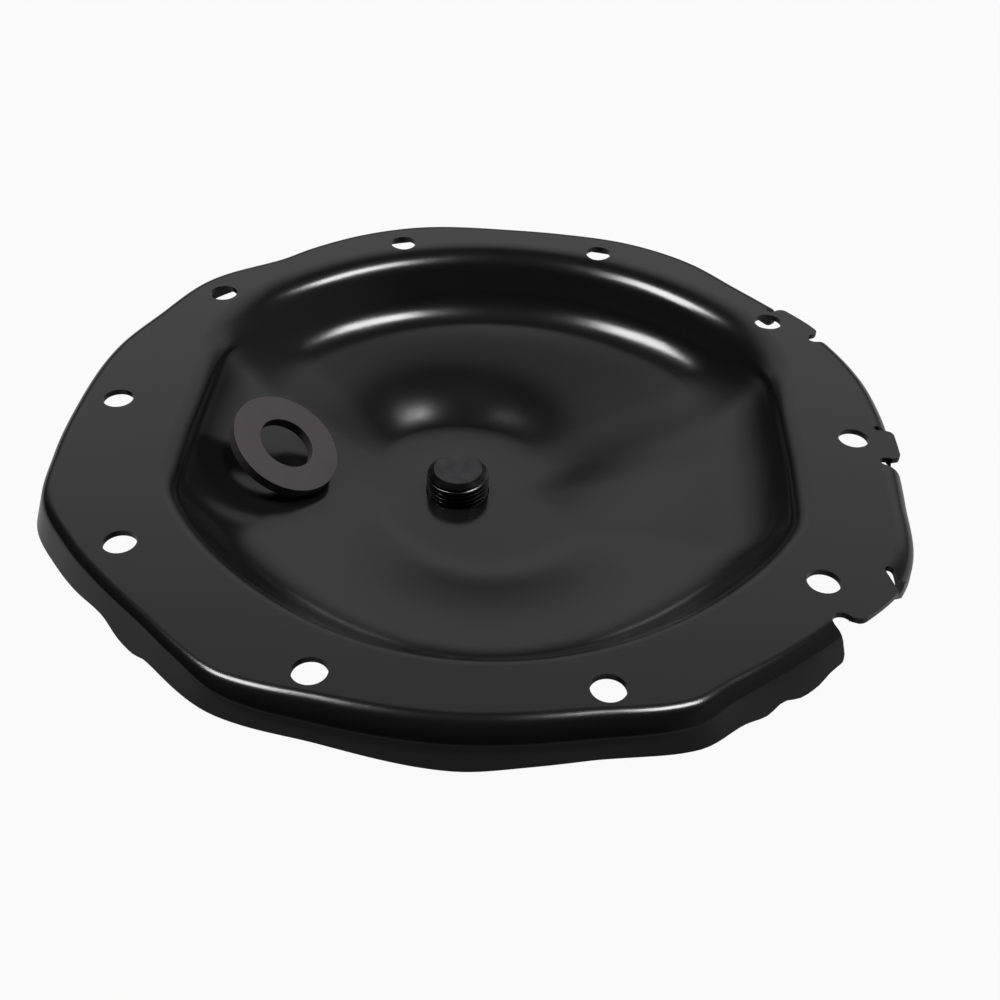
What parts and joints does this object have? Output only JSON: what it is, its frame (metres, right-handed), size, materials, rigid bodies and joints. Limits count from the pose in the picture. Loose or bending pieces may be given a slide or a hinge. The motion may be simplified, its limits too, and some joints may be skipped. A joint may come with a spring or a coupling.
{
  "type": "axle differential cover",
  "caption": "Dished pressed-steel axle housing cover with a flat bolt flange, turned-down edge, threaded fill plug and a loose ring magnet inside.",
  "frame": {"origin": "centre of the bolt pattern, on the gasket face", "axes": "+Z out of the gasket face towards the axle housing, +X across towards the side with the three flat tabs, +Y along the longer bolt spacing"},
  "size_m": [0.2793, 0.2798, 0.0545],
  "materials": {
    "cover_paint": "semi-gloss black paint",
    "plug_steel": "black oxide, bright on the cut edges",
    "magnet_ferrite": "matte sintered"
  },
  "bodies": {
    "root": {"cover": "cover_paint", "plug_boss": "cover_paint", "fill_plug": "plug_steel", "chip_magnet": "magnet_ferrite"}
  },
  "joints": []
}
